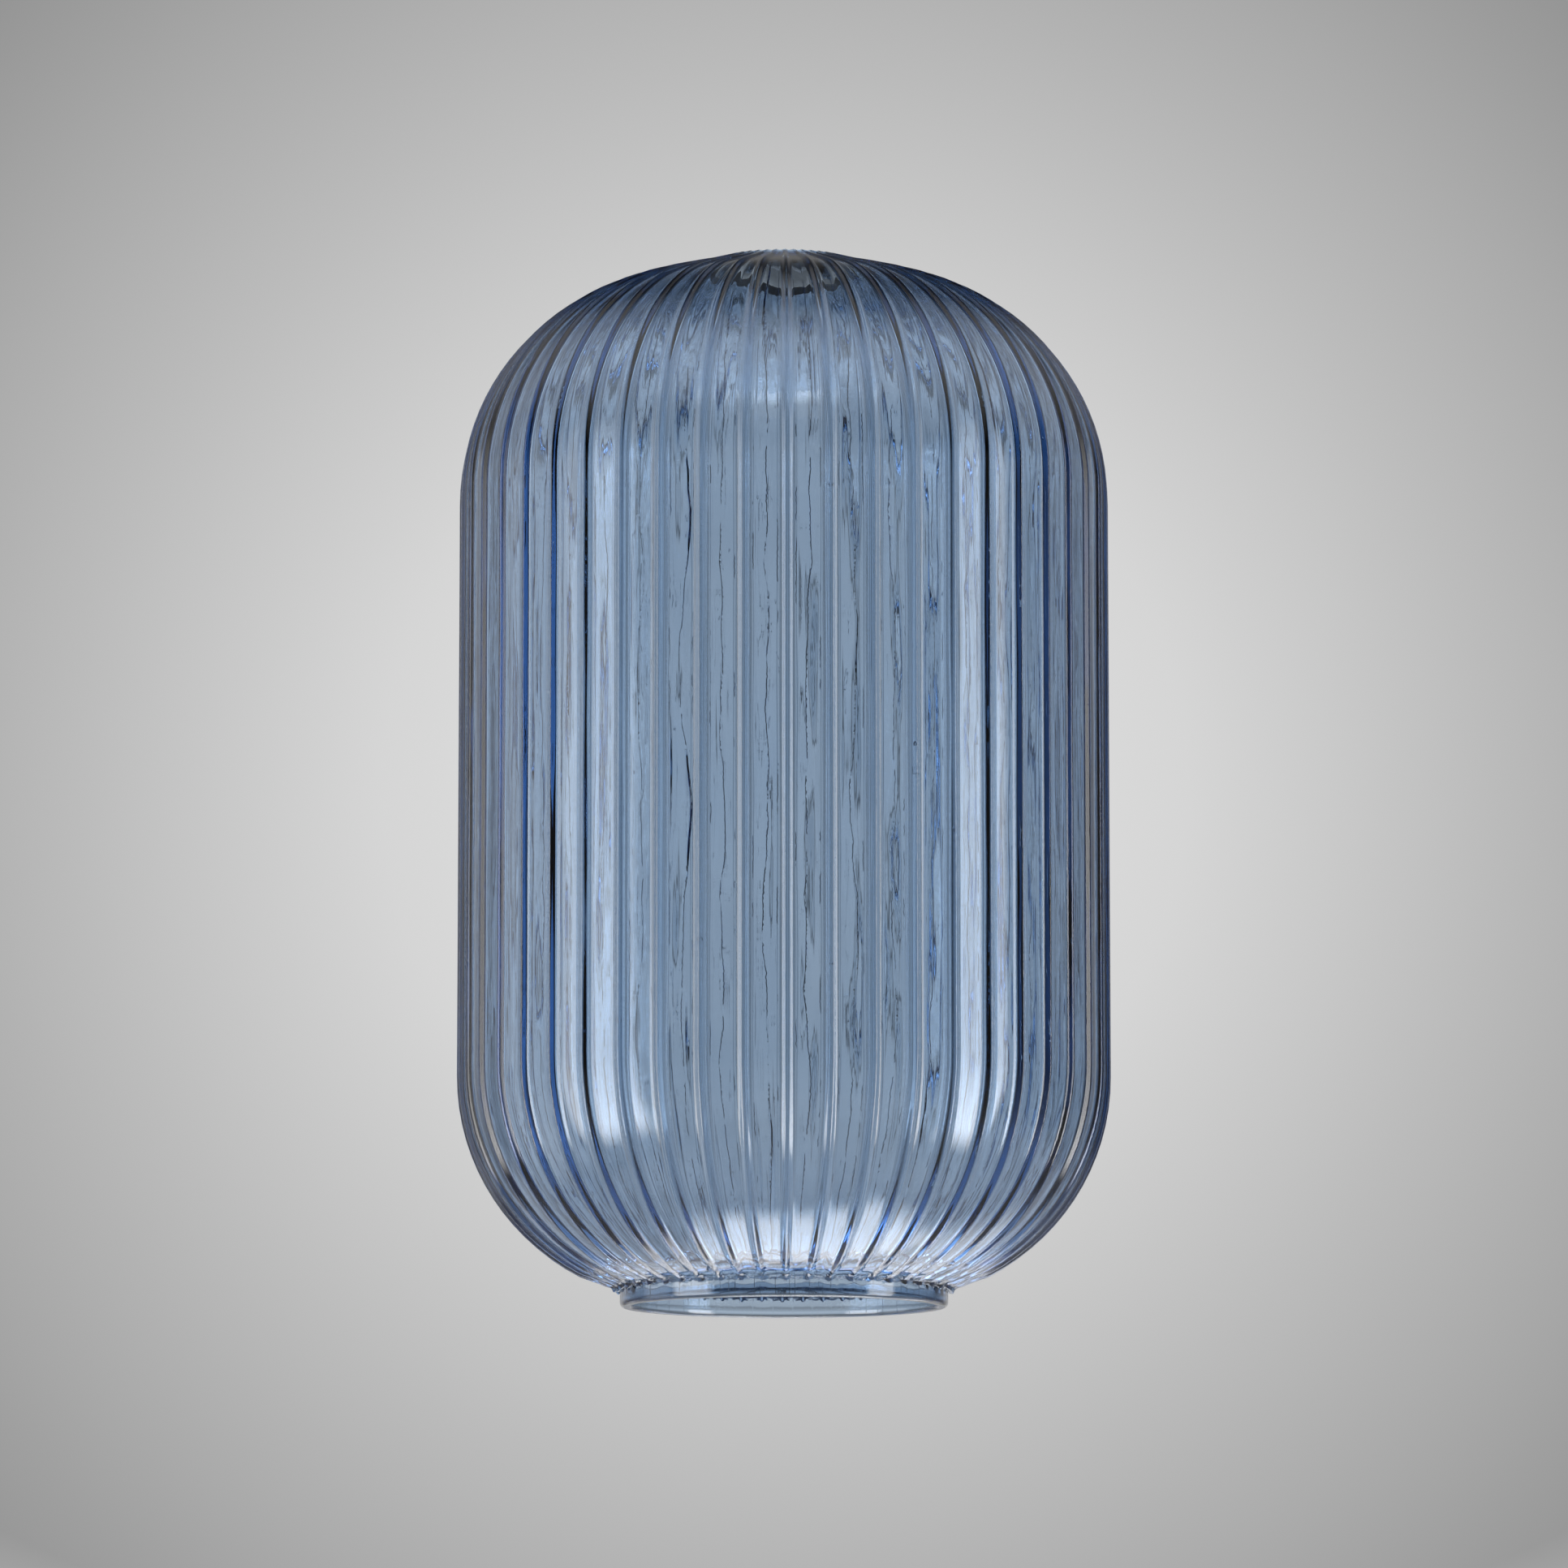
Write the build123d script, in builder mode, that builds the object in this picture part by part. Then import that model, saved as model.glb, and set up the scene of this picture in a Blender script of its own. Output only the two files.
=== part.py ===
"""Ribbed glass lamp shade, mould-blown in one piece.

Millimetres, +Z up. The origin is the centre of the ground rim at the open foot, and the
Z axis is the axis of the shade. The lampholder hole is at the top of the crown.
"""
import os
from math import acos, asin, cos, degrees, radians, sin, tan

from build123d import *

# Driving dimensions
body_radius = 100.0  # over the crests of the ribs
collar_radius = 50.0  # plain collar at the foot
holder_hole_radius = 21.0  # clearance for the sleeve of a screw-ring lampholder
wall = 2.6  # glass of the body between the ribs
collar_wall = 3.5  # the glass gathers thicker at the collar
hole_wall = 3.4  # and round the lampholder hole
foot_corner_radius = 69.0  # turn from the collar into the straight side
foot_corner_height = 70.6  # where the straight side starts
top_corner_radius = 72.0  # turn from the straight side into the crown
top_corner_height = 247.6  # where the straight side ends
crown_slope = 16.0  # the crown is a shallow cone, in degrees from level

# Ribs: 48 raised lines with plain flutes between them
rib_count = 48
first_rib_angle = 0.6
rib_height = 1.3
rib_radius = 2.0  # round bead that stands out of the wall by rib_height
rib_sink_at_hole = 0.6  # the beads sink into the crown as they crowd together
rib_foot_sink = 1.4  # the bead ends this far inside the wall of the collar

edge_arris = 0.4  # ground bevel on the rim
drill_length = 100.0  # the hole is cut from inside, up through the crown

foot_centre_radius = body_radius - foot_corner_radius
top_centre_radius = body_radius - top_corner_radius
crest_turn = 90 - crown_slope


def top_corner_end(inset):
    """Point on the top corner, a given depth under the crests, where the crown begins."""
    radius = top_corner_radius - inset
    return (
        top_centre_radius + radius * cos(radians(crest_turn)),
        top_corner_height + radius * sin(radians(crest_turn)),
    )


def crown_height(radius, inset):
    """Height of the crown at a distance from the axis, a given depth under the crests."""
    join_radius, join_height = top_corner_end(inset)
    return join_height + (join_radius - radius) * tan(radians(crown_slope))


def foot_turn(radius, inset):
    """Angle below level at which the foot corner reaches a distance from the axis."""
    return acos((radius - foot_centre_radius) / (foot_corner_radius - inset))


def foot_height(radius, inset):
    """Height of the foot corner at a distance from the axis."""
    drop = (foot_corner_radius - inset) * sin(foot_turn(radius, inset))
    return foot_corner_height - drop


def side_line(inset, turn, radius):
    """Foot corner, straight side and top corner under the crests, inside a BuildLine.

    turn and radius are those of the foot corner, which runs up into the straight side.
    """
    side = body_radius - inset
    CenterArc((side - radius, foot_corner_height), radius, -turn, turn)
    Line((side, foot_corner_height), (side, top_corner_height))
    CenterArc(
        (top_centre_radius, top_corner_height), top_corner_radius - inset, 0, crest_turn
    )


def outer_side_line(inset, foot_end):
    """Side line whose foot corner runs parallel to the crests, down to a given radius."""
    turn = degrees(foot_turn(foot_end, inset))
    side_line(inset, turn, foot_corner_radius - inset)


flute = rib_height
inside = rib_height + wall
collar_bore = collar_radius - collar_wall
bore_height = foot_height(collar_bore, rib_height + collar_wall)
hole_outside = (holder_hole_radius, crown_height(holder_hole_radius, flute))
hole_inside = (
    holder_hole_radius,
    crown_height(holder_hole_radius, rib_height + hole_wall),
)

# Inner foot corner: tangent to the inner side, and ends at the top of the collar bore
inner_drop = foot_corner_height - bore_height
inner_reach = body_radius - inside - collar_bore
inner_foot_radius = (inner_drop**2 + inner_reach**2) / (2 * inner_reach)
inner_foot_turn = degrees(asin(inner_drop / inner_foot_radius))

# One bead: a round section run along the meridian, its centre under the crest line
bead_end_radius = holder_hole_radius - rib_radius
bead_end_height = crown_height(bead_end_radius, rib_radius + rib_sink_at_hole)
with BuildPart() as rib:
    with BuildLine(Plane.XZ) as rib_path:
        outer_side_line(rib_radius, collar_radius - rib_foot_sink)
        Line(top_corner_end(rib_radius), (bead_end_radius, bead_end_height))
    with BuildSketch(Plane(origin=rib_path.wire() @ 0, z_dir=rib_path.wire() % 0)):
        Circle(rib_radius)
    sweep(path=rib_path.wire(), transition=Transition.ROUND)

# The shade: a turned wall, the ring of beads blown onto it, and the drilled hole
with BuildPart() as glass_shade:
    with BuildSketch(Plane.XZ):
        with BuildLine():
            Line((collar_bore, 0), (collar_radius, 0))
            Line((collar_radius, 0), (collar_radius, foot_height(collar_radius, flute)))
            outer_side_line(flute, collar_radius)
            Line(top_corner_end(flute), hole_outside)
            Line(hole_outside, hole_inside)
            Line(hole_inside, top_corner_end(inside))
            side_line(inside, inner_foot_turn, inner_foot_radius)
            Line((collar_bore, bore_height), (collar_bore, 0))
        make_face()
    revolve(axis=Axis.Z)
    with PolarLocations(0, rib_count, start_angle=first_rib_angle):
        add(rib.part)
    with BuildSketch(Plane.XY.offset(top_corner_height)):
        Circle(holder_hole_radius)
    extrude(amount=drill_length, mode=Mode.SUBTRACT)
    rim_edges = glass_shade.edges().filter_by(GeomType.CIRCLE).group_by(Axis.Z)[0]
    chamfer(rim_edges, edge_arris)

glass_shade.part.label = "glass_shade"
glass_shade.part.color = Color(0.45, 0.55, 0.68)

os.makedirs("parts", exist_ok=True)
export_step(glass_shade.part, "parts/glass_shade.step")
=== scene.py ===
"""Ribbed pale blue glass lamp shade, hung open end down in a plain studio.

Everything is in metres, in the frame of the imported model: the ground rim is centred on the
origin and the axis of the shade is +Z.
"""
import math

import bpy
import numpy as np
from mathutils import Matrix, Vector, noise


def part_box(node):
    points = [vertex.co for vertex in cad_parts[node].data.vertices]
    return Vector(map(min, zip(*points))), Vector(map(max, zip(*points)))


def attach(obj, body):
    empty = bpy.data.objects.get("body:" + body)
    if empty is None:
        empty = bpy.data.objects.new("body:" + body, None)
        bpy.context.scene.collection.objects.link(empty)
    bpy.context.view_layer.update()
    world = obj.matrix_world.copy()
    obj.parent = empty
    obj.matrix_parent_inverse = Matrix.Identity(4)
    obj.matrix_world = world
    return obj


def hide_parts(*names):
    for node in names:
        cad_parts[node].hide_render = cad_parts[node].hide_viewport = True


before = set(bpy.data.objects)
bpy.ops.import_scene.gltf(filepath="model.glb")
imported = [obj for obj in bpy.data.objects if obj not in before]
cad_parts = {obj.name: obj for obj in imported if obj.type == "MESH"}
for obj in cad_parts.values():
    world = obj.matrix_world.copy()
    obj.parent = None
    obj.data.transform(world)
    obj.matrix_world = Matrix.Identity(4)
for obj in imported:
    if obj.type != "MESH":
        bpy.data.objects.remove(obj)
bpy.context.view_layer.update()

mm = 0.001

# Profile of the shade: radii and heights are over the crests of the ribs
body_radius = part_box("glass_shade")[1].x
collar_radius = 50 * mm
hole_radius = 21 * mm
foot_corner_radius = 69 * mm
foot_corner_height = 70.6 * mm
top_corner_radius = 72 * mm
top_corner_height = 247.6 * mm
crown_slope = math.radians(16)
foot_centre = body_radius - foot_corner_radius
top_centre = body_radius - top_corner_radius

# Glass between the ribs, at the collar and at the hole
wall = 2.6 * mm
collar_wall = 3.5 * mm
hole_wall = 3.4 * mm
bore_radius = collar_radius - collar_wall
hole_wall_radius = 48 * mm  # the wall thickens from here to the hole

# Ribs
rib_count = 48
first_rib = math.radians(0.6)
rib_height = 1.3 * mm
rib_half_width = 2.4 * mm
rib_pitch = 2 * math.pi / rib_count
rib_left_at_hole = 0.3  # share of its height
rib_left_over_collar = 0.45
rib_sink_radius = 45 * mm  # the ribs sink from here to the hole
rib_backing = 0.3 * mm  # the inner surface follows the ribs this much
rib_backing_half_width = 3.4 * mm
crown_swell = 0.45 * mm  # the flutes rise towards the crests by the hole
crown_swell_radius = 36 * mm

# Marks of the mould and of the hot glass
bead_height = 0.65 * mm  # scalloped bead where the flutes run out at the collar
bead_along = 0.9 * mm
inner_bead_height = 0.6 * mm
inner_bead_along = 2.2 * mm
fold_along = 13.5 * mm  # ragged fold inside, over the collar
fold_step = 0.5 * mm
fold_groove = 0.45 * mm
outer_ripple, outer_ripple_length = 0.13 * mm, 3.4 * mm
inner_ripple, inner_ripple_length = 0.15 * mm, 4.2 * mm

# Mesh density
columns_per_rib = 14
columns = rib_count * columns_per_rib
column = np.arange(columns)
rib_of_column = column // columns_per_rib
across = 2 * (column % columns_per_rib) / columns_per_rib - 1  # -1 and 1 mid-flute, 0 on the rib
rib_turn = first_rib + rib_of_column * rib_pitch
scallop = np.cos(np.pi * across)[None, :]


def shares(*spans):
    """Rising shares from 0; each span is (its end, its number of steps)."""
    values = [0.0]
    for end, steps in spans:
        values += list(np.linspace(values[-1], end, steps + 1)[1:])
    return values


def meridian(depth, foot_end, foot_shares, side_steps, top_steps, crown_steps):
    """Points, outward normals and lengths up a profile a given depth under the crests.

    The foot corner is tangent to the straight side and begins at foot_end (radius, height);
    foot_shares are parts of it, from the collar to the straight side.
    """
    points, normals = [], []

    def corner(centre, centre_height, radius, turn):
        points.append((centre + radius * math.cos(turn), centre_height + radius * math.sin(turn)))
        normals.append((math.cos(turn), math.sin(turn)))

    reach, drop = body_radius - depth - foot_end[0], foot_corner_height - foot_end[1]
    radius = (reach**2 + drop**2) / (2 * reach)
    start = math.asin(drop / radius)
    for share in foot_shares:
        corner(body_radius - depth - radius, foot_corner_height, radius, -start * (1 - share))
    for step in range(1, side_steps + 1):
        rise = (top_corner_height - foot_corner_height) * step / side_steps
        points.append((body_radius - depth, foot_corner_height + rise))
        normals.append((1, 0))
    end = math.pi / 2 - crown_slope
    for step in range(1, top_steps + 1):
        corner(top_centre, top_corner_height, top_corner_radius - depth, end * step / top_steps)
    join_radius, join_height = points[-1]
    for step in range(1, crown_steps + 1):
        radius = join_radius + (hole_radius - join_radius) * step / crown_steps
        points.append((radius, join_height + (join_radius - radius) * math.tan(crown_slope)))
        normals.append((math.sin(crown_slope), math.cos(crown_slope)))
    points, normals = np.array(points), np.array(normals)
    steps = np.linalg.norm(np.diff(points, axis=0), axis=1)
    return points, normals, np.concatenate([[0], np.cumsum(steps)])


def foot_height(radius, depth):
    """Height of the foot corner at a distance from the axis, a given depth under the crests."""
    corner = foot_corner_radius - depth
    return foot_corner_height - corner * math.sin(math.acos((radius - foot_centre) / corner))


def field(turns, lengths, size_around, size_along, seed):
    """Smooth noise over the glass: one value for every turn and length along the profile."""
    x = np.cos(turns) * body_radius / size_around
    y = np.sin(turns) * body_radius / size_around
    z = lengths / size_along + 17.3 * seed
    flat = [noise.noise((a, b, c)) for a, b, c in zip(x.ravel(), y.ravel(), z.ravel())]
    return np.array(flat).reshape(turns.shape)


def bump_shape(distance, half_width):
    """Rounded ridge: 1 in the middle, 0 from half_width outwards."""
    share = np.clip(np.abs(distance) / half_width, 0, 1)
    return 0.5 + 0.5 * np.cos(np.pi * share)


def smooth_step(value, start, end):
    """0 up to start, 1 from end on, with a soft rise between them."""
    share = np.clip((value - start) / (end - start), 0, 1)
    return share * share * (3 - 2 * share)


def surface_points(points, normals, depth, slide, turns):
    """Radius, height and turn of every vertex, sunk by depth and slid up along the profile."""
    return np.stack([
        points[:, :1] - normals[:, :1] * depth - normals[:, 1:] * slide,
        points[:, 1:] - normals[:, 1:] * depth + normals[:, :1] * slide,
        turns,
    ], axis=2)


# Outer surface: the ribs, sinking at the hole and over the collar
foot_end = (collar_radius, foot_height(collar_radius, 0))
points, normals, lengths = meridian(0, foot_end, shares((0.04, 10), (0.16, 9), (1, 15)), 9, 20, 12)
outer_offset = rib_pitch / 2 * (0.45 * across + 0.55 * across**3)
turns = (rib_turn + outer_offset)[None, :] + 0 * lengths[:, None]
along = lengths[:, None] + 0 * turns
radii = points[:, :1] + 0 * turns
shrink = 0.25 + 0.75 * radii / body_radius  # the ribs narrow as they draw together
rib = bump_shape(radii * outer_offset[None, :], rib_half_width * shrink)
left = 1 - (1 - rib_left_at_hole) * (1 - smooth_step(radii, hole_radius, rib_sink_radius))
over_collar = smooth_step(along, 1.5 * mm, 4 * mm) * (1 - smooth_step(along, 8 * mm, 15 * mm))
left *= 1 - (1 - rib_left_over_collar) * over_collar
depth = rib_height * (1 - left * (0.4 + 0.6 * shrink) * rib)
depth -= crown_swell * (1 - smooth_step(radii, hole_radius, crown_swell_radius))
depth += 0.05 * mm * field(turns, along, 9 * mm, 45 * mm, 1)
ripple = np.sin(2 * np.pi * along / outer_ripple_length + 1.6 * scallop
                + 4 * field(turns, along, 14 * mm, 30 * mm, 2))
ripple_fade = np.exp(-((along / (9 * mm)) ** 2)) * smooth_step(along, 0, 2 * mm)
depth += outer_ripple * ripple * ripple_fade
bead_line = bead_along + 0.8 * mm * scallop + mm * field(turns, 0 * along, 6 * mm, 1, 8)
depth -= bead_height * bump_shape(along - bead_line, mm)
outer = surface_points(points, normals, depth, 0, turns)
outer[0, :, 0] = collar_radius
outer_along = along

# Inner surface: the columns between the ribs wander, and carry the creases with them
foot_end = (bore_radius, foot_height(bore_radius, rib_height + collar_wall))
points, normals, lengths = meridian(rib_height + wall, foot_end,
                                    shares((0.05, 10), (0.12, 6), (0.20, 17), (1, 14)), 32, 18, 12)
inner_offset = rib_pitch / 2 * (1.36 * across - 0.36 * across**3)
along = lengths[:, None] + 0 * rib_turn[None, :]
crease_turn = (rib_turn + (across > 0) * rib_pitch - rib_pitch / 2)[None, :] + 0 * along
wander = math.radians(0.55) * field(crease_turn, along, 1 * mm, 300 * mm, 3)
wander += math.radians(0.75) * field(crease_turn, along, 2 * mm, 38 * mm, 4)
wander += math.radians(0.32) * field(crease_turn, along, 2 * mm, 10 * mm, 5)
turns = (rib_turn + inner_offset)[None, :] + 2 * wander * across[None, :] ** 2
radii = points[:, :1] + 0 * turns

# The rows near the fold slide along the profile, so that the fold is ragged
ragged = 3.5 * mm * field(turns, 0 * along, 7 * mm, 1, 6)
ragged += 3 * mm * field(turns, 0 * along, 1.7 * mm, 1, 7)
slide = ragged * bump_shape(along - fold_along, 9 * mm)
below_fold = 1 - smooth_step(along, 13.4 * mm, 13.9 * mm)

half_width = np.minimum(rib_backing_half_width, radii * rib_pitch / 2)
depth = -rib_backing * bump_shape(radii * inner_offset[None, :], half_width)
depth += (hole_wall - wall) * (1 - smooth_step(radii, hole_radius, hole_wall_radius))
depth -= crown_swell * (1 - smooth_step(radii, hole_radius, crown_swell_radius))
depth += 0.28 * mm * field(turns, along, 16 * mm, 42 * mm, 10)
depth += 0.10 * mm * field(turns, along, 5 * mm, 24 * mm, 11)
depth += fold_step * below_fold * smooth_step(along, 0, 4 * mm)
depth += fold_groove * bump_shape(along - 13.6 * mm, 0.9 * mm)
scatter = 1.2 * mm * field(turns, 0 * along, 6 * mm, 1, 9)
bead_line = inner_bead_along + 0.9 * mm * scallop + scatter
depth -= inner_bead_height * bump_shape(along - bead_line, mm)
ripple = np.sin(2 * np.pi * along / inner_ripple_length
                + 5 * field(turns, along, 12 * mm, 30 * mm, 12))
depth += inner_ripple * ripple * below_fold
inner = surface_points(points, normals, depth, slide, turns)
inner[0, :, 0] = bore_radius
inner_along = along

# Rings in order: rim and collar, outer surface, hole wall, inner surface, collar bore
GLASS_OUT, GLASS_IN, GROUND = 0, 1, 2
outer_phase = 2 * math.pi * outer_offset / rib_pitch
inner_phase = 2 * math.pi * inner_offset / rib_pitch
rings, ring_along, ring_phase, ring_kind, sharp_rings = [], [], [], [], []


def add_ring(radius, height, turn, distance, kind, sharp=False):
    """One ring of vertices. kind is for the band of faces from this ring to the next."""
    if sharp:
        sharp_rings.append(len(rings))
    x, y = radius * np.cos(turn - np.pi / 2), radius * np.sin(turn - np.pi / 2)
    rings.append(np.stack([x, y, height], axis=1))
    ring_along.append(distance + 0 * radius)
    ring_phase.append(inner_phase if kind == GLASS_IN else outer_phase)
    ring_kind.append(kind)


def add_collar(profile, turn, kind):
    """Level rings of the collar: profile is (radius, height, sharp), in millimetres."""
    level = np.ones(columns)
    for radius, height, sharp in profile:
        distance = (height - collar_tall) * mm
        add_ring(radius * mm * level, height * mm * level, turn, distance, kind, sharp)


def add_surface(surface, lengths, rows, kind):
    """The rings of an outer or inner surface, with a sharp edge at the first of them."""
    for row in rows:
        radius, height, turn = surface[row].T
        add_ring(radius, height, turn, lengths[row], kind, row == rows[0])


collar_tall = 4  # the foot corner begins about this many millimetres over the rim
rim_outside = ((49.1, 0, True), (49.6, 0.25, False), (49.9, 0.7, False), (50, 1.2, False),
               (50, 2, False))
rim_inside = ((46.5, 2, False), (46.5, 0.8, False), (46.8, 0.2, False), (47.1, 0, True))
add_collar(rim_outside, outer[0, :, 2], GLASS_OUT)
add_surface(outer, outer_along, range(len(outer)), GLASS_OUT)
sharp_rings.append(len(rings) - 1)
ring_kind[-1] = GROUND
add_surface(inner, inner_along, range(len(inner) - 1, -1, -1), GLASS_IN)
add_collar(rim_inside, inner[0, :, 2], GLASS_IN)
ring_kind[-1] = GROUND

vertices = np.concatenate(rings)
ring_total = len(rings)
ring_index, column_index = np.meshgrid(np.arange(ring_total), column, indexing="ij")
next_ring, next_column = (ring_index + 1) % ring_total, (column_index + 1) % columns
faces = np.stack([
    ring_index * columns + column_index,
    ring_index * columns + next_column,
    next_ring * columns + next_column,
    next_ring * columns + column_index,
], axis=2).reshape(-1, 4)

mesh = bpy.data.meshes.new("blown_glass")
mesh.from_pydata(vertices.tolist(), [], faces.tolist())
mesh.update()
mesh.polygons.foreach_set("use_smooth", np.ones(len(faces), bool))


def store(name, kind, domain, member, values):
    mesh.attributes.new(name, kind, domain).data.foreach_set(member, values.ravel())


for name, kind in (("inner_face", GLASS_IN), ("ground_face", GROUND)):
    mask = np.repeat(np.array(ring_kind) == kind, columns).astype(np.float32)
    store(name, "FLOAT", "FACE", "value", mask)
ends = np.zeros(len(mesh.edges) * 2, np.int32)
mesh.edges.foreach_get("vertices", ends)
ends = ends.reshape(-1, 2) // columns
store("sharp_edge", "BOOLEAN", "EDGE", "value",
      (ends[:, 0] == ends[:, 1]) & np.isin(ends[:, 0], sharp_rings))
phases = np.concatenate(ring_phase)
phase = np.stack([np.cos(phases), np.sin(phases), 0 * phases], axis=1)
store("flute_phase", "FLOAT_VECTOR", "POINT", "vector", phase.astype(np.float32))
angles = np.arctan2(vertices[:, 1], vertices[:, 0])
unrolled = np.stack([np.cos(angles) * body_radius, np.sin(angles) * body_radius,
                     np.concatenate(ring_along)], axis=1)
store("along_glass", "FLOAT_VECTOR", "POINT", "vector", unrolled.astype(np.float32))
shade = bpy.data.objects.new("blown_glass_shade", mesh)
bpy.context.collection.objects.link(shade)

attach(shade, "root")
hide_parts("glass_shade")


# Node helpers
def math_node(tree, operation, first, second=0):
    """A Math node of two values, each a number or another node's output."""
    node = tree.nodes.new("ShaderNodeMath")
    node.operation = operation
    for socket, value in zip(node.inputs, (first, second)):
        if isinstance(value, (int, float)):
            socket.default_value = value
        else:
            tree.links.new(value, socket)
    return node.outputs[0]


def vector_node(tree, operation, vector, fixed=None, output="Vector"):
    """A Vector Math node of another node's output and a fixed vector, where it takes one."""
    node = tree.nodes.new("ShaderNodeVectorMath")
    node.operation = operation
    tree.links.new(vector, node.inputs[0])
    if fixed is not None:
        node.inputs[1].default_value = fixed
    return node.outputs[output]


def axes(tree, vector):
    """The X, Y and Z of another node's output."""
    node = tree.nodes.new("ShaderNodeSeparateXYZ")
    tree.links.new(vector, node.inputs[0])
    return node.outputs


def map_range(tree, value, start, end, low=0, high=1, blend="SMOOTHSTEP"):
    """Turns start to end into low to high."""
    node = tree.nodes.new("ShaderNodeMapRange")
    node.interpolation_type = blend
    for name, number in (("From Min", start), ("From Max", end), ("To Min", low), ("To Max", high)):
        node.inputs[name].default_value = number
    tree.links.new(value, node.inputs["Value"])
    return node.outputs["Result"]


# Material: clear shader on the surface and blue absorption in the thickness
material = bpy.data.materials.new("blue_glass")
material.use_nodes = True
glass = material.node_tree
surface = glass.nodes["Principled BSDF"]
surface.inputs["Base Color"].default_value = (1, 1, 1, 1)
surface.inputs["Transmission Weight"].default_value = 1
surface.inputs["IOR"].default_value = 1.5
absorb = glass.nodes.new("ShaderNodeVolumeAbsorption")
absorb.inputs["Color"].default_value = (0.17, 0.42, 0.66, 1)
absorb.inputs["Density"].default_value = 255
glass.links.new(absorb.outputs[0], glass.nodes["Material Output"].inputs["Volume"])
mesh.materials.append(material)


def attribute(name, output):
    node = glass.nodes.new("ShaderNodeAttribute")
    node.attribute_name = name
    return node.outputs[output]


along_glass = attribute("along_glass", "Vector")
inner_face = attribute("inner_face", "Fac")
ground_face = attribute("ground_face", "Fac")
outer_face = math_node(glass, "SUBTRACT", 1, inner_face)
phase = axes(glass, attribute("flute_phase", "Vector"))


def stretched_noise(around, lengthwise, detail=2, distortion=0):
    """Noise with features of these sizes round the shade and along its profile, in metres."""
    texture = glass.nodes.new("ShaderNodeTexNoise")
    texture.inputs["Scale"].default_value = 1
    texture.inputs["Detail"].default_value = detail
    texture.inputs["Distortion"].default_value = distortion
    scaled = vector_node(glass, "MULTIPLY", along_glass, (1 / around, 1 / around, 1 / lengthwise))
    glass.links.new(scaled, texture.inputs["Vector"])
    return texture.outputs["Fac"]


def weigh(first_share, second_share):
    """Sum of the flute phase's sine and cosine, in these shares."""
    return math_node(glass, "ADD", math_node(glass, "MULTIPLY", phase["Y"], first_share),
                     math_node(glass, "MULTIPLY", phase["X"], second_share))


def crease(shift, half_width, broken, length):
    """A thin jagged groove along the flutes, in broken pieces.

    shift is its place off mid-flute, from -1 to 1, and length scales its jags and pieces.
    """
    angle = math.pi * shift
    beside = math_node(glass, "MULTIPLY", weigh(math.cos(angle), math.sin(angle)), 2 * mm)
    facing = weigh(math.sin(angle), -math.cos(angle))
    jag = math_node(glass, "SUBTRACT", stretched_noise(9 * mm, length * 1.2 * mm, 3), 0.5)
    jag = math_node(glass, "MULTIPLY", jag, 0.9 * mm)
    distance = math_node(glass, "ABSOLUTE", math_node(glass, "ADD", beside, jag))
    groove = map_range(glass, distance, half_width, 0)
    here = map_range(glass, stretched_noise(3 * mm, length * 13 * mm, 4), broken, broken + 0.06)
    one_side = math_node(glass, "GREATER_THAN", facing, 0.2)
    return math_node(glass, "MULTIPLY", math_node(glass, "MULTIPLY", groove, here), one_side)


# Relief too fine for the mesh: where it is, its shape, and its height
islands = map_range(glass, stretched_noise(2.2 * mm, 9 * mm, 4, 0.6), 0.70, 0.73)
relief = (
    (outer_face, stretched_noise(1.1 * mm, 60 * mm, 1), 0.006 * mm),
    (outer_face, stretched_noise(6 * mm, 9 * mm, 2), 0.02 * mm),
    (inner_face, stretched_noise(0.9 * mm, 55 * mm, 1), 0.008 * mm),
    (inner_face, crease(0, 0.14 * mm, 0.40, 0.8), -0.32 * mm),
    (inner_face, crease(0.62, 0.13 * mm, 0.54, 1.3), -0.28 * mm),
    (inner_face, crease(-0.55, 0.13 * mm, 0.55, 0.9), -0.28 * mm),
    (inner_face, islands, 0.10 * mm),
    (ground_face, stretched_noise(0.4 * mm, 0.4 * mm, 3), 0.03 * mm),
)
last = None
for mask, value, height in relief:
    node = glass.nodes.new("ShaderNodeBump")
    node.inputs["Strength"].default_value = 1
    node.inputs["Distance"].default_value = height
    glass.links.new(math_node(glass, "MULTIPLY", mask, value), node.inputs["Height"])
    if last:
        glass.links.new(last, node.inputs["Normal"])
    last = node.outputs["Normal"]
glass.links.new(last, surface.inputs["Normal"])
ground_roughness = 0.35
roughness = math_node(glass, "MULTIPLY", ground_face, ground_roughness)
glass.links.new(roughness, surface.inputs["Roughness"])

# Camera: a long lens a little under the shade, looking up at it
camera_distance = 2.5
camera_drop = 170.4 * mm
camera_pitch = math.radians(7.546)
camera = bpy.data.cameras.new("camera")
camera.sensor_width = 36
camera.lens = 188.5
camera.clip_end = 100
camera_object = bpy.data.objects.new("camera", camera)
bpy.context.collection.objects.link(camera_object)
camera_object.location = (0, -camera_distance, -camera_drop)
camera_object.rotation_euler = (math.pi / 2 + camera_pitch, 0, 0)
bpy.context.scene.camera = camera_object


def linear(shown):
    """Scene value of a grey that is shown as this, from 0 to 255."""
    share = shown / 255
    return share / 12.92 if share < 0.04045 else ((share + 0.055) / 1.055) ** 2.4


# Backdrop and studio: pools of soft light in a dark room, each a falloff about one direction
world = bpy.data.worlds.new("studio")
world.use_nodes = True
bpy.context.scene.world = world
sky = world.node_tree
looking = sky.nodes.new("ShaderNodeTexCoord").outputs["Generated"]


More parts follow.
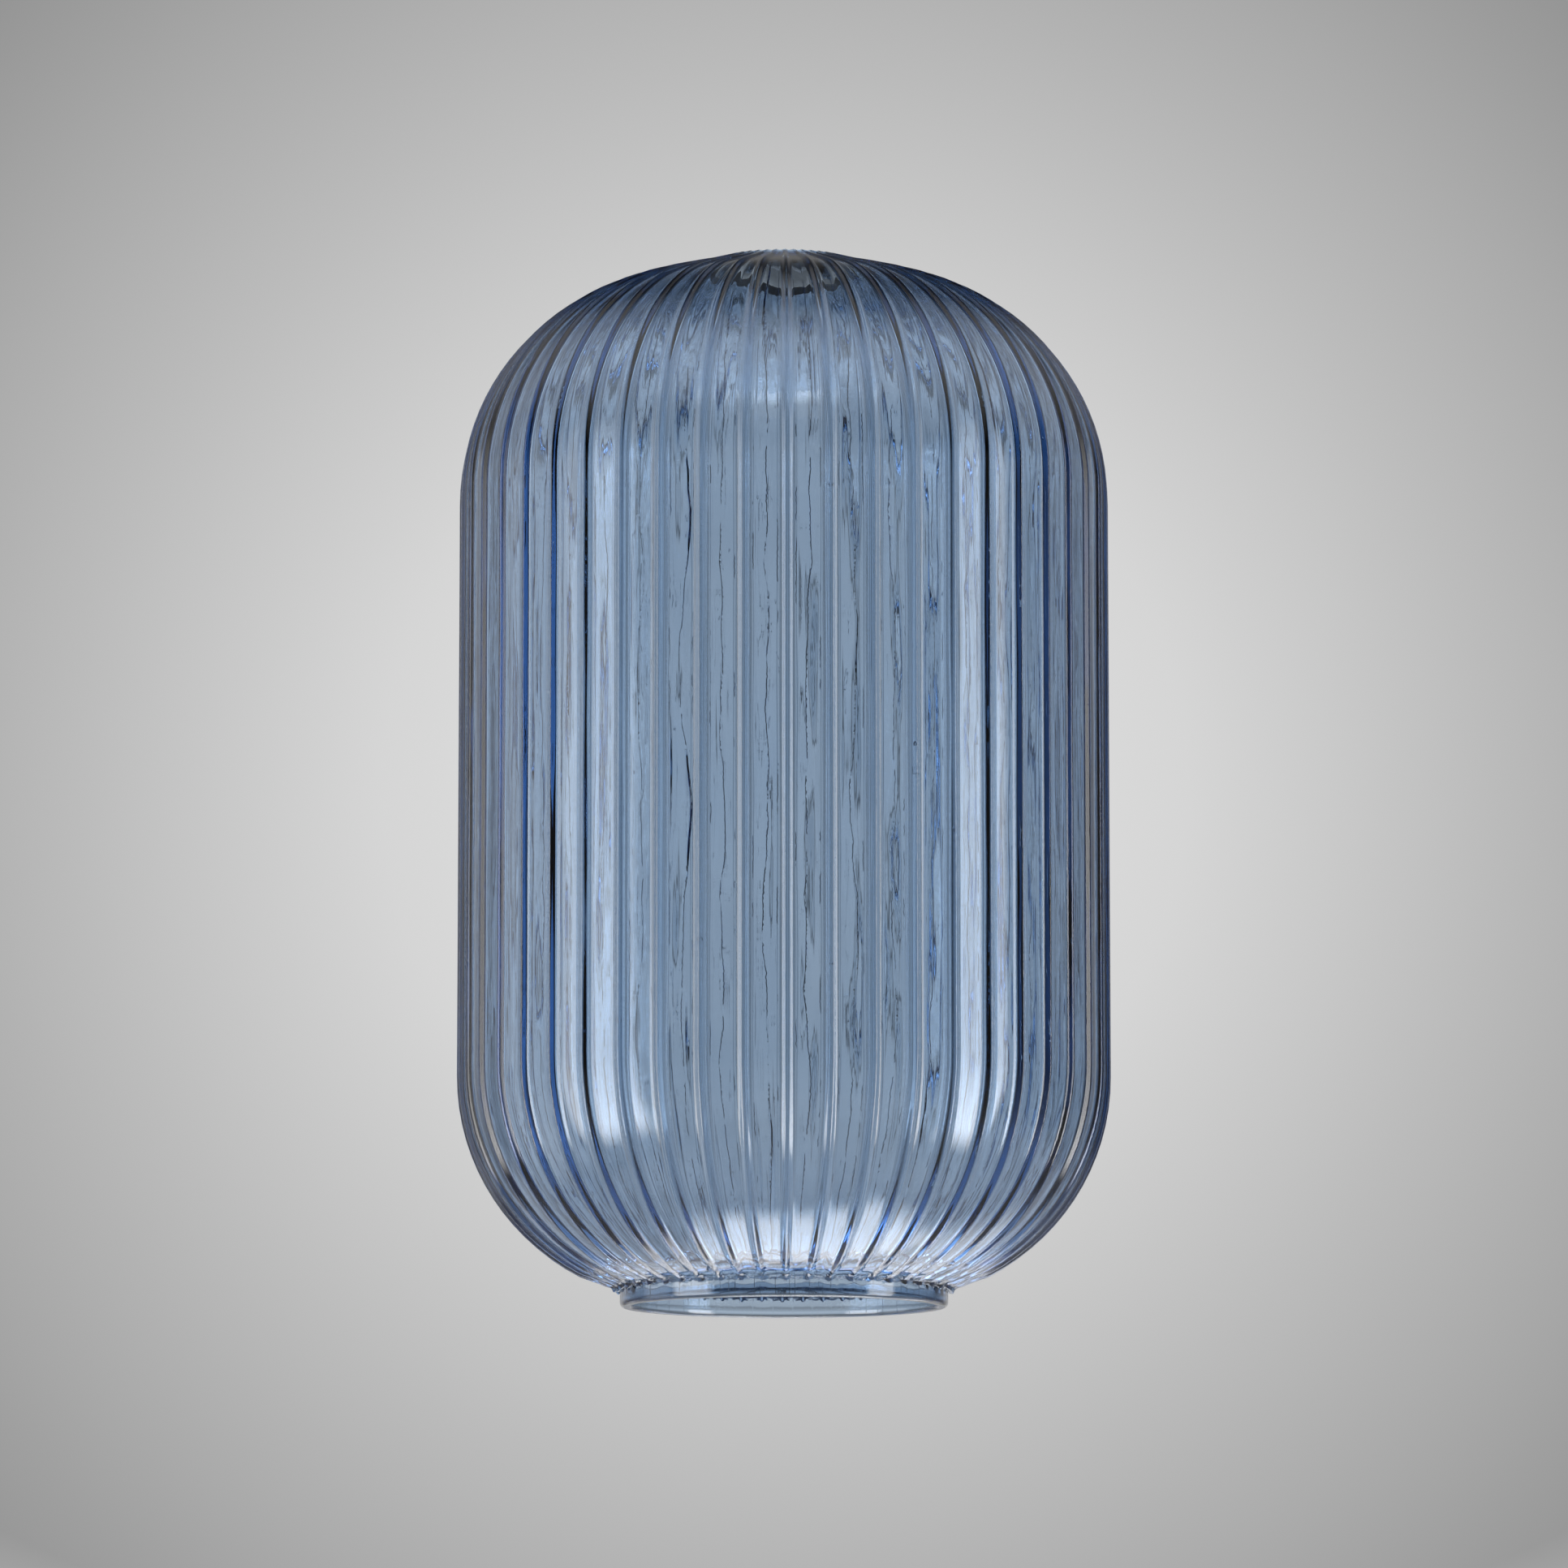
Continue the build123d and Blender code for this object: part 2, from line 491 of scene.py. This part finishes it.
def pool(azimuth, elevation, levels, squeeze=1):
    """Light from round one direction: levels are (degrees away, scene value). Azimuth 0 is +Y.

    squeeze makes the pool that many times lower than it is wide.
    """
    turn, rise = math.radians(azimuth), math.radians(elevation)
    flat = math.cos(rise)
    centre = Vector((math.sin(turn) * flat, math.cos(turn) * flat, math.sin(rise) * squeeze))
    unit = vector_node(sky, "NORMALIZE", vector_node(sky, "MULTIPLY", looking, (1, 1, squeeze)))
    dot = vector_node(sky, "DOT_PRODUCT", unit, centre.normalized(), "Value")
    away = math_node(sky, "DIVIDE", math_node(sky, "ARCCOSINE", dot), math.pi)
    node = sky.nodes.new("ShaderNodeValToRGB")
    sky.links.new(away, node.inputs["Fac"])
    stops = node.color_ramp.elements
    for number, (angle, value) in enumerate(levels):
        stop = stops[number] if number < 2 else stops.new(angle / 180)
        stop.position = angle / 180
        stop.color = (value, value, value, 1)
    return node.outputs["Color"]


view_rise = math.degrees(camera_pitch)
light = pool(0, view_rise, ((0, linear(228)), (2.75, linear(214)), (5.23, linear(183)),
                            (7.6, linear(150)), (11, 0.14), (30, 0.16), (60, 0.24), (110, 0.18),
                            (180, 0.12)))
surround = pool(0, view_rise, ((0, 0), (8.5, 0), (10.5, 0.30), (14, 0.64), (27, 0.62), (38, 0.34),
                               (50, 0.16), (70, 0), (180, 0)), 1.8)
light = math_node(sky, "MAXIMUM", light, surround)
# Dark over the backdrop's top edge: the crown by the hole mirrors this band
ceiling = map_range(sky, axes(sky, looking)["Z"], math.sin(math.radians(13.1)),
                    math.sin(math.radians(15.5)), 1, 0.3)
light = math_node(sky, "MULTIPLY", light, ceiling)
light = math_node(sky, "ADD", light, pool(-44, 6, ((0, 0.26), (12, 0.22), (26, 0), (180, 0))))
overhead = pool(180, 57, ((0, 1.45), (16, 1.35), (28, 0.6), (40, 0), (180, 0)))
light = math_node(sky, "ADD", light, overhead)
for azimuth, elevation, level in ((-108, 48, 1.0), (108, 48, 1.0), (-66, 35, 0.85), (66, 35, 0.9)):
    side = pool(azimuth, elevation, ((0, level), (14, 0.9 * level), (34, 0), (180, 0)))
    light = math_node(sky, "ADD", light, side)
below = pool(0, -90, ((0, 0.45), (68, 0.45), (84, 0.28), (94, 0), (180, 0)))
light = math_node(sky, "MAXIMUM", light, below)
sky.links.new(light, sky.nodes["Background"].inputs["Color"])

# Floor far below the hanging shade, fading out before its horizon
floor_height = -0.6
floor_reach = 3.0
floor_mesh = bpy.data.meshes.new("floor")
corners = ((-1, -1), (1, -1), (1, 1), (-1, 1))
floor_mesh.from_pydata([(x * floor_reach, y * floor_reach, floor_height) for x, y in corners],
                       [], [(0, 1, 2, 3)])
floor = bpy.data.objects.new("floor", floor_mesh)
bpy.context.collection.objects.link(floor)
floor_paper = bpy.data.materials.new("floor_paper")
floor_paper.use_nodes = True
paper = floor_paper.node_tree
matt = paper.nodes["Principled BSDF"]
matt.inputs["Base Color"].default_value = (0.62, 0.62, 0.62, 1)
matt.inputs["Roughness"].default_value = 0.9
place = paper.nodes.new("ShaderNodeTexCoord").outputs["Object"]
flat_place = vector_node(paper, "MULTIPLY", place, (1, 1, 0))
away = vector_node(paper, "LENGTH", flat_place, output="Value")
clear = paper.nodes.new("ShaderNodeBsdfTransparent")
blend = paper.nodes.new("ShaderNodeMixShader")
paper.links.new(map_range(paper, away, 1.3, 2.9), blend.inputs["Fac"])
paper.links.new(matt.outputs[0], blend.inputs[1])
paper.links.new(clear.outputs[0], blend.inputs[2])
paper.links.new(blend.outputs[0], paper.nodes["Material Output"].inputs["Surface"])
# Painted light: the floor glows, brighter towards the back and a little to the right, standing in
# for the backdrop's light spilling over it
spot = axes(paper, place)
painted_glow_slope = math_node(paper, "ADD", spot["Y"], math_node(paper, "MULTIPLY", spot["X"], 0.4))
# painted light: emission on the floor, rising towards the back, in place of spilled backdrop light
matt.inputs["Emission Color"].default_value = (1, 1, 1, 1)
paper.links.new(map_range(paper, painted_glow_slope, -0.35, 0.45, 0.12, 0.50), matt.inputs["Emission Strength"])
floor_mesh.materials.append(floor_paper)


# Lights: flat softboxes round the shade, none of them seen by the camera
def softbox(name, place, aim, width, tall, radiance, top_share=1.0, edge=0.3):
    """A soft light at a place (azimuth from the camera's side towards +X, distance, height).

    radiance is its brightest value, top_share the part of it left at the top, and edge the
    share of its half size over which it fades out.
    """
    light = bpy.data.lights.new(name, "AREA")
    light.shape = "RECTANGLE"
    light.size, light.size_y = width, tall
    light.energy = radiance * math.pi * width * tall
    light.use_nodes = True
    card = light.node_tree
    spot = axes(card, card.nodes.new("ShaderNodeNewGeometry").outputs["Parametric"])
    soft_x, soft_y = (map_range(card, math_node(card, "PINGPONG", spot[axis], 0.5), 0, edge / 2)
                      for axis in ("X", "Y"))
    slope = map_range(card, spot["Y"], 0, 1, 1, top_share, "LINEAR")
    strength = math_node(card, "MULTIPLY", math_node(card, "MULTIPLY", soft_x, soft_y), slope)
    card.links.new(strength, card.nodes["Emission"].inputs["Strength"])
    holder = bpy.data.objects.new(name, light)
    bpy.context.collection.objects.link(holder)
    azimuth, distance, height = place
    angle = math.radians(azimuth)
    holder.location = (distance * math.sin(angle), -distance * math.cos(angle), height)
    holder.rotation_euler = (Vector(aim) - holder.location).to_track_quat("-Z", "Y").to_euler()
    holder.visible_camera = False


softbox("left_strip", (-66, 0.75, 0.12), (0, 0, 0.12), 0.48, 1.17, 9.0, 0.0, 0.35)
softbox("right_strip", (70, 0.75, 0.11), (0, 0, 0.11), 0.34, 1.19, 11.0, 0.0, 0.35)
softbox("left_card", (-98, 0.75, 0.05), (0, 0, 0.05), 0.50, 1.3, 1.4, 0.6, 0.6)
softbox("below", (145, 0.12, -0.5), (0.07, 0.11, 0), 0.60, 0.52, 6.5, 1.0, 0.5)
softbox("low_back", (165, 0.45, -0.42), (0, 0, 0.05), 0.9, 0.4, 2.2, 1.0, 0.6)

bpy.context.scene.view_settings.view_transform = "Standard"
